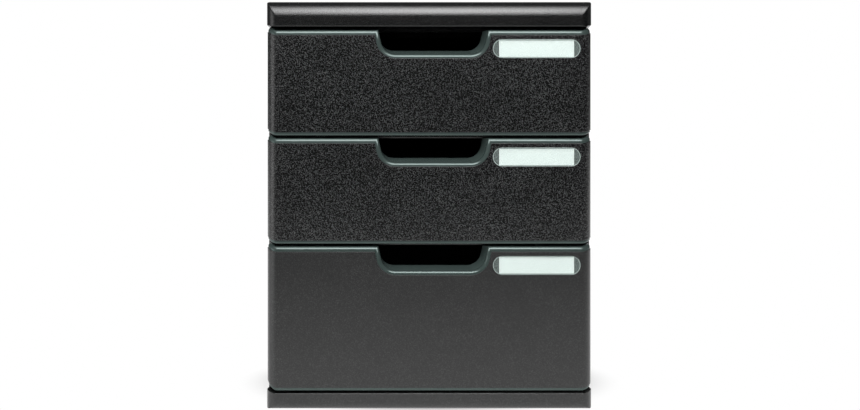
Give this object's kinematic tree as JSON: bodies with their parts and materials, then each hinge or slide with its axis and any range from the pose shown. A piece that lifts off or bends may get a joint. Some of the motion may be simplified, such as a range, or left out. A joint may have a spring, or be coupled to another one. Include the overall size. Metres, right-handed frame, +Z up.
{
  "type": "desktop file drawer cabinet",
  "caption": "Desktop filing cabinet of stacked black moulded casings on a plinth, with sliding drawers, scooped finger notches, clear label windows and a rounded cover.",
  "frame": {"origin": "middle of the footprint, on the surface that the feet stand on", "axes": "+Z up, +X to the right as the drawer fronts are faced, the fronts face -Y and the drawers open towards -Y"},
  "size_m": [0.288, 0.339, 0.3624],
  "materials": {
    "shell_grained": "satin",
    "front_grained": "satin",
    "tray_smooth": "gloss",
    "foot_rubber": "matte",
    "label_paper": "matte",
    "label_clear": "gloss"
  },
  "bodies": {
    "cabinet": {"base_plinth": "shell_grained", "foot_front_left": "foot_rubber", "foot_front_right": "foot_rubber", "foot_rear_left": "foot_rubber", "foot_rear_right": "foot_rubber", "casing_bottom": "shell_grained", "casing_middle": "shell_grained", "casing_top": "shell_grained", "top_cover": "shell_grained"},
    "drawer_bottom": {"tray_bottom": "tray_smooth", "front_bottom": "front_grained", "label_card_bottom": "label_paper", "label_window_bottom": "label_clear"},
    "drawer_middle": {"tray_middle": "tray_smooth", "front_middle": "front_grained", "label_card_middle": "label_paper", "label_window_middle": "label_clear"},
    "drawer_top": {"tray_top": "tray_smooth", "front_top": "front_grained", "label_card_top": "label_paper", "label_window_top": "label_clear"}
  },
  "joints": [
    {"name": "slide_bottom", "type": "slide", "parent": "cabinet", "child": "drawer_bottom", "axis": [0, -1, 0], "range_m": [0, 0.24]},
    {"name": "slide_middle", "type": "slide", "parent": "cabinet", "child": "drawer_middle", "axis": [0, -1, 0], "range_m": [0, 0.24]},
    {"name": "slide_top", "type": "slide", "parent": "cabinet", "child": "drawer_top", "axis": [0, -1, 0], "range_m": [0, 0.24]}
  ]
}
